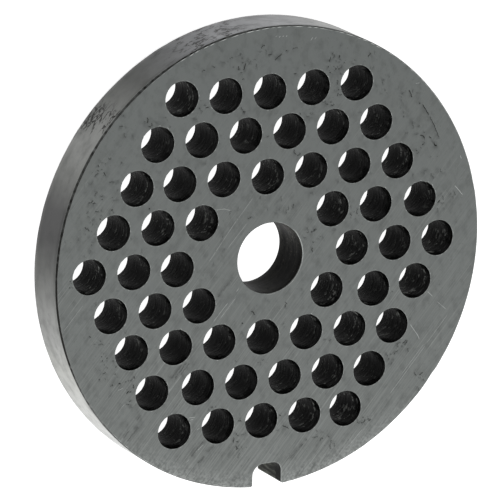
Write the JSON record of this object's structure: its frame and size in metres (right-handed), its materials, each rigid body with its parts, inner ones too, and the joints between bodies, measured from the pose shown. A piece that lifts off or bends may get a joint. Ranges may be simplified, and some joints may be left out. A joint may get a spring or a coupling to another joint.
{
  "type": "meat grinder plate",
  "caption": "Round steel grinding plate with a drilled hexagonal field of holes, a plain centre bore and a keyway in the rim, for a meat grinder head.",
  "frame": {"origin": "on the centre bore's axis, at the plate's back face, which it lies on", "axes": "+Z along the bore out through the cutting face; the keyway is on the -Y side; +X follows by the right hand"},
  "size_m": [0.062, 0.0619, 0.0065],
  "materials": {
    "ground_steel": "surface ground tool steel, worn grey with fine scratches, small pits and dark drilled walls"
  },
  "bodies": {
    "root": {"grinder_plate": "ground_steel"}
  },
  "joints": []
}
